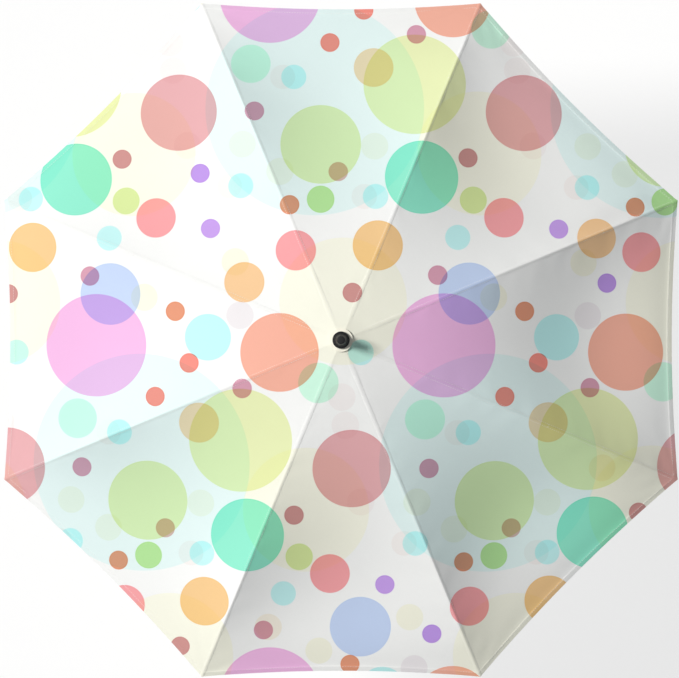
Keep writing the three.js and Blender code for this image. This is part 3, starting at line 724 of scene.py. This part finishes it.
# ---- Shaft, notch, runner and their springs -------------------------------------------------
# A plated steel tube. The notch at its top and the runner on it are moulded crowns whose slots
# take the eyes of ribs and stretchers on a ring of wire; two blued springs catch the runner.

def metal_finish(name, low, high, roughness, along, drawn):
    """Drawn or plated metal: streaks along one axis, faint clouds in colour and gloss."""
    material, start, shader = new_finish(name, Metallic=1.0)
    where = start.node("ShaderNodeTexCoord", output=3)
    streaks, clouds = where.stretched(*along).noise(1.0, 3), where.noise(45, 3)
    feed(shader, Base_Color=(streaks * 0.55 + clouds * 0.45).tint(low, high))
    feed(shader, Roughness=streaks * 0.16 + clouds * 0.10 + (roughness - 0.13))
    feed(shader, Normal=bumped(start, streaks, drawn, 0.4))
    return material


plated_steel = metal_finish(
    "plated_steel", (0.50, 0.51, 0.53, 1), (0.80, 0.81, 0.83, 1), 0.28, (2600, 2600, 25), 0.00002)
rib_steel = metal_finish(
    "rib_steel", (0.42, 0.43, 0.45, 1), (0.70, 0.71, 0.73, 1), 0.34, (500, 500, 500), 0.00003)
blued_steel = metal_finish(
    "blued_steel", (0.13, 0.14, 0.17, 1), (0.30, 0.31, 0.34, 1), 0.36, (900, 900, 900), 0.00003)
nickel = metal_finish(
    "nickel", (0.66, 0.65, 0.62, 1), (0.86, 0.85, 0.82, 1), 0.18, (300, 300, 2600), 0.00001)

CROWN_BORE, CROWN_INNER, CROWN_OUTER = SHAFT_RADIUS + 0.0004, 0.0069, 0.0120
PLATE_NEAR, PLATE_FAR, CROWN_BACK = 0.0036, 0.0021, -0.0034
SLOT_HALF = 0.0011


def crown_shells(pins, ring_side):
    """A slotted crown about the height of its pins: an inner ring, a closed ring on one side
    (1 above, -1 below) and eight teeth, each the sector between two parallel-sided slots. The
    teeth stand 0.4 mm into the inner ring and 0.3 mm into the closed one."""
    hoops = []
    for inner, outer, back, near in ((CROWN_BORE, CROWN_INNER, CROWN_BACK, PLATE_NEAR),
                                     (CROWN_BORE + 0.0005, CROWN_OUTER, PLATE_FAR, PLATE_NEAR)):
        corners = [(inner, back), (outer, back), (outer, near), (inner, near), (inner, back)]
        loop = rounded(corners, 0.0006) * (1, ring_side) + (0, pins)
        hoops.append(np.moveaxis(turned_rings(loop, 64), 0, 1))
    tooth_in, tooth_end = CROWN_INNER - 0.0004, PLATE_FAR + 0.0003
    section = rounded([
        (tooth_in, CROWN_BACK), (CROWN_OUTER, CROWN_BACK), (CROWN_OUTER, tooth_end),
        (tooth_in, tooth_end)], 0.0006, 4)
    teeth = []
    across = np.linspace(-1, 1, 9)[:, None]
    radius, height = section[None, :, 0], section[None, :, 1]
    reach = HALF_ARM - np.arcsin(SLOT_HALF / radius)
    for tooth in range(ARMS):
        turn = FIRST_ARM + HALF_ARM + tooth * 2 * HALF_ARM + across * reach
        up = pins + ring_side * height + 0 * turn
        teeth.append(np.stack([radius * np.cos(turn), radius * np.sin(turn), up], -1))
    return hoops, teeth


def crown_pieces(name, pins, ring_side, body, nodes):
    """The crown's rings as one piece, joined round the shaft, and its teeth as another."""
    hoops, teeth = crown_shells(pins, ring_side)
    shells_piece(f"{name}_ring", hoops, black_plastic, body, nodes, around=True)
    shells_piece(f"{name}_teeth", teeth, black_plastic, body)


crown_pieces("notch", PIN_UP, 1, "shaft", ["top_notch"])
runner_low, runner_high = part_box("runner")
RUNNER_PINS = runner_high.z + CROWN_BACK
low, high = runner_low.z, RUNNER_PINS - 0.0030
bore, wall = CROWN_BORE, SHAFT_RADIUS + 0.0026
sleeve = rounded([
    (bore, low + 0.0010), (bore + 0.0006, low), (wall + 0.0028, low), (wall + 0.0030, low + 0.0030),
    (wall + 0.0018, low + 0.0040), (wall + 0.0003, low + 0.0070), (wall, low + 0.0120),
    (wall, high - 0.0085), (wall + 0.0006, high - 0.0060), (wall + 0.0024, high - 0.0030),
    (wall + 0.0024, high), (bore, high), (bore, low + 0.0010)], 0.0010)
sleeve_rings = np.moveaxis(turned_rings(sleeve, 96), 0, 1)
crown_pieces("runner", RUNNER_PINS, -1, "runner", ["runner"])
shells_piece("runner_sleeve", [sleeve_rings], black_plastic, "runner", around=True)
finishes = {
    "shaft_tube": plated_steel, "stop_pin": nickel, "top_catch": blued_steel, "bottom_catch": blued_steel,
    "notch_wire": blued_steel, "runner_wire": blued_steel}
for number in range(1, ARMS + 1):
    finishes[f"rib_{number}"] = finishes[f"stretcher_{number}"] = rib_steel
    finishes[f"joint_rivet_{number}"] = nickel
for node, finish in finishes.items():
    frame["nodes"][node].material_slots[0].material = finish


# ---- Rib tips and tacks ---------------------------------------------------------------------
# A nickelled tip is pressed on each rib's round end and the cloth's corner is sewn through it.
# Pairs of thread loops at five places hold the seam down on each rib.

TIP_FROM = RIB_LENGTH - 0.010
TACKS = (0.110, 0.215, 0.330, 0.430, 0.520)
TACK_LEANS = (-0.12, 0.10)
TACK_RADIUS, LOOP_WIDE, LOOP_HIGH = 0.00028, 0.0021, 0.0021


def at_rib(along, x, y, z):
    """Points beside the first rib at a distance along it: x down its slope, y to its side and z
    square to it, turned to lie along +X."""
    out, up, slope = rib_line(along)
    cos, sin = math.cos(slope), math.sin(slope)
    return np.stack([out + x * cos + z * sin, y, up - x * sin + z * cos], -1)


tip_profile = rounded([
    (0.00135, 0), (0.0020, 0), (0.0021, 0.0010), (0.0018, 0.0016), (0.0018, 0.0026), (0.0022, 0.0032),
    (0.0024, 0.0060), (0.0024, 0.0095), (0.0021, 0.0110), (0.0012, 0.0121), (0.0003, 0.0122)], 0.0005)
rings = turned_rings(tip_profile, 40)
tip_rings = at_rib(TIP_FROM, rings[..., 2], rings[..., 1], rings[..., 0])


def tack(along, lean):
    """A loop of thread round the rib: a squarish ring with a round section, leaning a little."""
    turn = np.linspace(0, 2 * math.pi, 28, endpoint=False)
    round_it = np.linspace(0, 2 * math.pi, 8, endpoint=False)[None, :, None]
    square = (np.abs(np.cos(turn)) ** 4 + np.abs(np.sin(turn)) ** 4) ** -0.25
    side, high = LOOP_WIDE * square * np.cos(turn), LOOP_HIGH * square * np.sin(turn)
    centre = np.stack([lean * side, side, high], -1)
    section = unit(centre)[:, None, :] * np.cos(round_it) + np.array([1.0, 0, 0]) * np.sin(round_it)
    ring = centre[:, None, :] + TACK_RADIUS * section
    return at_rib(along, ring[..., 0], ring[..., 1], ring[..., 2])


for arm in range(ARMS):
    number = arm + 1
    rib = f"rib_{number}"
    shells_piece(f"tip_{number}", [turned_to(tip_rings, arm)], nickel, rib, [f"rib_tip_{number}"])
    loops = [turned_to(tack(along, lean), arm) for along in TACKS for lean in TACK_LEANS]
    shells_piece(f"rib_tacks_{number}", loops, thread, rib, around=True)


# ---- Tie strap ------------------------------------------------------------------------------
# A doubled band of plain cloth sewn under the hem of the first gore, with a press stud, that
# wraps the closed umbrella. Here it lies back along its rib, as it does in use.

STRAP_WIDE, STRAP_LONG, STRAP_THICK = 0.020, 0.150, 0.0009
STRAP_FROM, STRAP_ASIDE, STRAP_BELOW = 0.395, 0.019, 0.0031
STUD_ALONG, STUD_BELOW = 0.413, 0.0044

# The band hangs in slow waves, curls down at its edges and is stitched 2 mm in from them.
strap_along = np.linspace(STRAP_FROM, STRAP_FROM + STRAP_LONG, 61)[:, None]
from_middle = np.linspace(-STRAP_WIDE / 2, STRAP_WIDE / 2, 13)[None, :]
strap_aside = STRAP_ASIDE + from_middle
edge_in = STRAP_WIDE / 2 - np.abs(from_middle)
strap_off = -STRAP_BELOW - 0.0004 * np.cos(strap_along * 95) - 0.0003 * (2 * from_middle / STRAP_WIDE) ** 2
strap_off = strap_off - 0.00012 * np.exp(-((edge_in - 0.0020) / 0.0006) ** 2)
strap_across = strap_aside / half_gore(strap_along)
strap_points = turned_to(cloth_point(strap_along + 0 * strap_aside, strap_across, strap_off), 0)
strap = grid_piece("tie_band", strap_points)
strap.data.materials.append(ivory_cloth)
thick(strap, STRAP_THICK)
gathers(strap, 0, hem_top)
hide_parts("tie_strap")

stud_profile = rounded([
    (0.0049, 0.0006), (0.0050, 0.0002), (0.0046, -0.0006), (0.0034, -0.0008), (0.0030, -0.0002),
    (0.0016, -0.0002), (0.0014, -0.0014), (0.0003, -0.0015)], 0.0004)
rings = turned_rings(stud_profile, 48)
stud_centre = cloth_point(STUD_ALONG, STRAP_ASIDE / half_gore(STUD_ALONG), -STUD_BELOW)
stud_on_rib = at_rib(STUD_ALONG, rings[..., 0], rings[..., 1], rings[..., 2])
stud_rings = stud_on_rib + stud_centre - at_rib(STUD_ALONG, 0.0, 0.0, 0.0)
stud = shells_piece("press_stud", [turned_to(stud_rings, 0)], nickel, "rib_1", ["strap_snap"])
gathers(stud, 0, hem_top)


# ---- Crook handle ---------------------------------------------------------------------------
# A moulded black crook pushed on the shaft, with its end plug, a bright band at its top and a
# flared cup over the band that the rib tips gather round.

handle_low, handle_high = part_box("crook_handle")
GRIP_RADIUS = -handle_low.x
CROOK_RADIUS = (handle_high.x - GRIP_RADIUS) / 2
GRIP_TOP = handle_high.z
BEND_UP = handle_low.z + GRIP_RADIUS + CROOK_RADIUS
cap_low, cap_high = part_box("crook_end_cap")
END_UP = cap_low.z - 0.0003
BEND_STEPS, RISE_STEPS = 64, 15


def crook_rings():
    """Rings carried down the grip, round half a circle and up the short end. A raised seam line
    runs along both sides, and two grooves ring the top of the grip."""
    straight = np.linspace(GRIP_TOP, BEND_UP, 60)[:-1]
    ease = np.linspace(0, math.pi, BEND_STEPS)
    rise = np.linspace(BEND_UP, END_UP, RISE_STEPS + 1)[1:]
    x = np.concatenate([0 * straight, CROOK_RADIUS * (1 - np.cos(ease)), 0 * rise + 2 * CROOK_RADIUS])
    z = np.concatenate([straight, BEND_UP - CROOK_RADIUS * np.sin(ease), rise])
    lean = np.concatenate([0 * straight, ease, 0 * rise + math.pi])
    run = np.concatenate([GRIP_TOP - straight, np.full(BEND_STEPS + RISE_STEPS, 1.0)])
    groove = 0.0006 * (np.exp(-((run - 0.006) / 0.0011) ** 2) + np.exp(-((run - 0.010) / 0.0011) ** 2))
    ends = 0.0007 * np.exp(-run / 0.0006) + 0.0006 * np.exp(-(END_UP - z) / 0.0006) * (lean > 3)
    turn = np.arange(72) * 2 * math.pi / 72
    seam = 0.00010 * np.exp(-(np.sin(turn - math.pi / 2) / 0.07) ** 2)
    radius = GRIP_RADIUS - 0.0001 - (groove + ends)[:, None] + seam[None, :] * (run > 0.014)[:, None]
    side, flat = radius * np.sin(turn)[None, :], radius * np.cos(turn)[None, :]
    return np.stack([x[:, None] + flat * np.cos(lean)[:, None], side,
                     z[:, None] + flat * np.sin(lean)[:, None]], -1)


grip_plastic = plastic_finish("grip_plastic", (0.013, 0.013, 0.015, 1), 0.36, 0.00007)
shells_piece("crook", [crook_rings()], grip_plastic, "shaft", ["crook_handle"])
plug_middle = np.array([2 * CROOK_RADIUS, 0, 0])
low, high = cap_low.z, cap_high.z
plug_profile = rounded([
    (0.0060, low), (GRIP_RADIUS - 0.0003, low), (GRIP_RADIUS - 0.0001, low + 0.0016),
    (GRIP_RADIUS - 0.0012, low + 0.0030), (GRIP_RADIUS - 0.0045, high), (0.0008, high)], 0.0012)
plug_rings = turned_rings(plug_profile) + plug_middle
shells_piece("crook_plug", [plug_rings], black_plastic, "shaft", ["crook_end_cap"])

band_low, band_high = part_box("handle_collar")
BAND = band_high.x
low, high = band_low.z, band_high.z
ON_SHAFT = SHAFT_RADIUS + 0.0003
band_profile = rounded([
    (ON_SHAFT, low), (BAND - 0.0002, low), (BAND, low + 0.0020), (BAND - 0.0005, low + 0.0024),
    (BAND - 0.0005, low + 0.0030), (BAND, low + 0.0034), (BAND, high - 0.0040),
    (BAND - 0.0005, high - 0.0036), (BAND - 0.0005, high - 0.0030), (BAND, high - 0.0026),
    (BAND - 0.0015, high), (ON_SHAFT, high)], 0.0006, 4)
shells_piece("bright_band", [turned_rings(band_profile)], nickel, "shaft", ["handle_collar"])

cup_low, cup_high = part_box("tip_cup")
CUP = cup_high.x
low, high = cup_low.z, cup_high.z
cup_profile = rounded([
    (ON_SHAFT, low), (0.0085, low), (CUP - 0.0010, high - 0.0030), (CUP, high - 0.0010), (CUP, high),
    (CUP - 0.0016, high), (0.0080, low + 0.0030), (ON_SHAFT, low + 0.0030)], 0.0007)
shells_piece("flared_cup", [turned_rings(cup_profile)], black_plastic, "shaft", ["tip_cup"])
